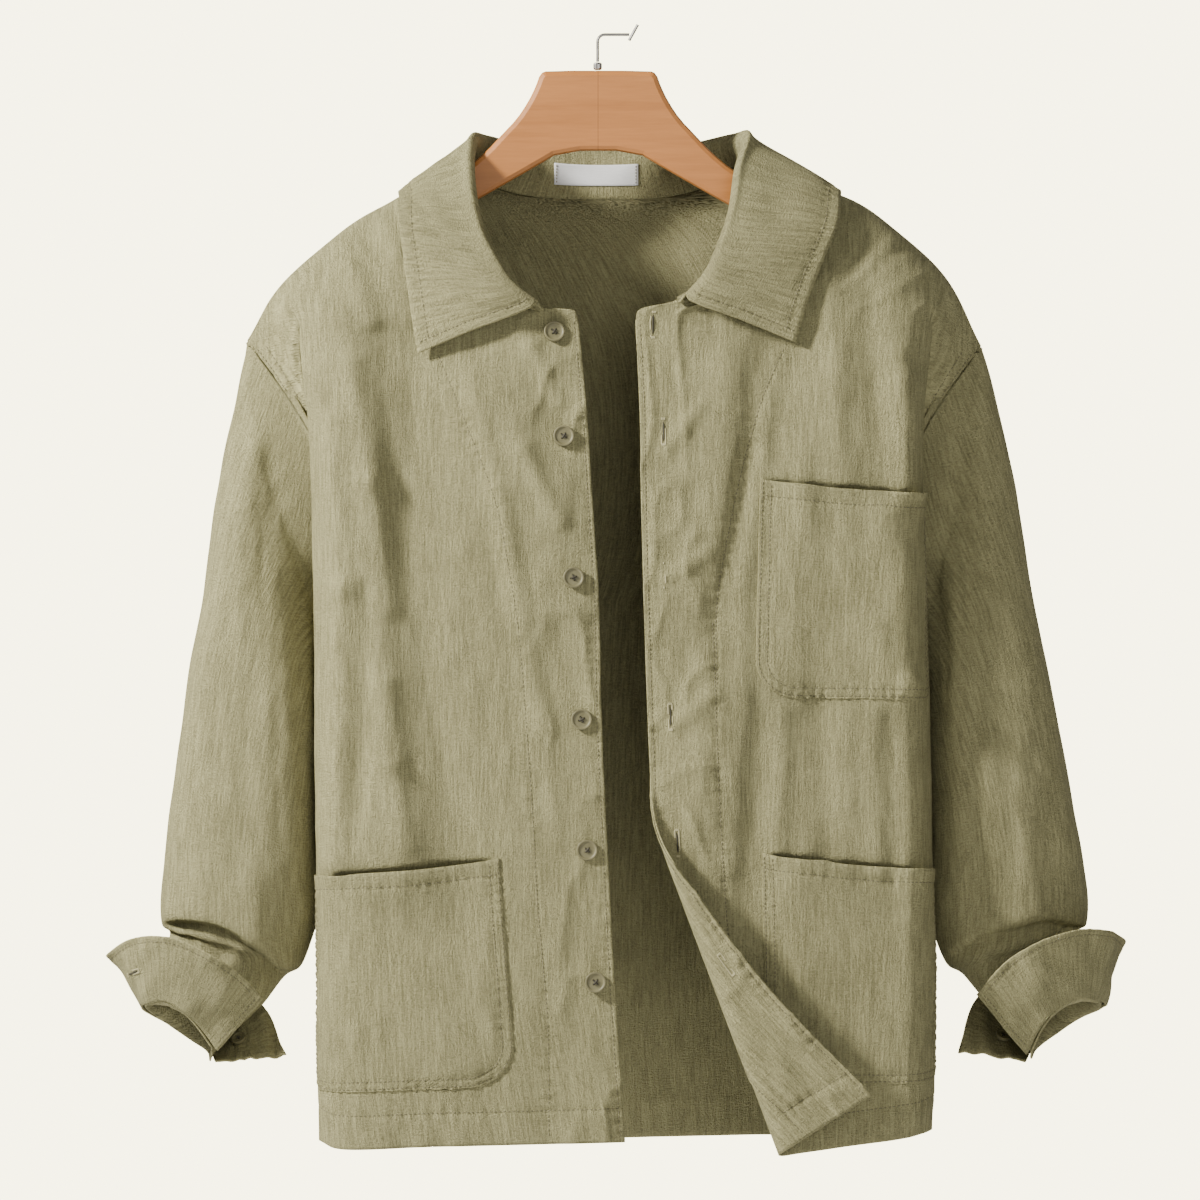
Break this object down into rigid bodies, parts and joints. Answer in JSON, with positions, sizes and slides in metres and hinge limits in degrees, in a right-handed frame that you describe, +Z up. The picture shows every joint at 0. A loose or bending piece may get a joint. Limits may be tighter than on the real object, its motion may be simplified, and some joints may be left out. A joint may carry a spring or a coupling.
{
  "type": "linen shirt jacket on a wooden hanger",
  "caption": "Open linen shirt jacket with a fold-over collar, patch pockets and turned back cuffs, hanging on a flat wooden hanger with a metal hook.",
  "frame": {"origin": "underside of the hook's run, where a rail carries it", "axes": "+Z up, the garment faces -Y, +X to the viewer's right, which is the wearer's left"},
  "size_m": [0.734, 0.1677, 0.8166],
  "materials": {
    "linen": "matte, coarse linen weave, washed and slubby",
    "button": "satin, cloth coloured, four holes",
    "label": "smooth woven tape, bare",
    "wood": "satin, fine straight grain",
    "steel": "plain drawn wire"
  },
  "bodies": {
    "root": {"back": "linen", "button_1": "button", "button_2": "button", "button_3": "button", "button_4": "button", "button_5": "button", "button_6": "button", "collar": "linen", "cuff_button_left": "button", "cuff_button_right": "button", "cuff_left": "linen", "cuff_right": "linen", "facing_left": "linen", "front_left": "linen", "front_right": "linen", "hanger": "wood", "hook": "steel", "hook_bead": "steel", "hook_stop": "steel", "label": "label", "pocket_chest": "linen", "pocket_lower_left": "linen", "pocket_lower_right": "linen", "sleeve_left": "linen", "sleeve_right": "linen"}
  },
  "joints": []
}
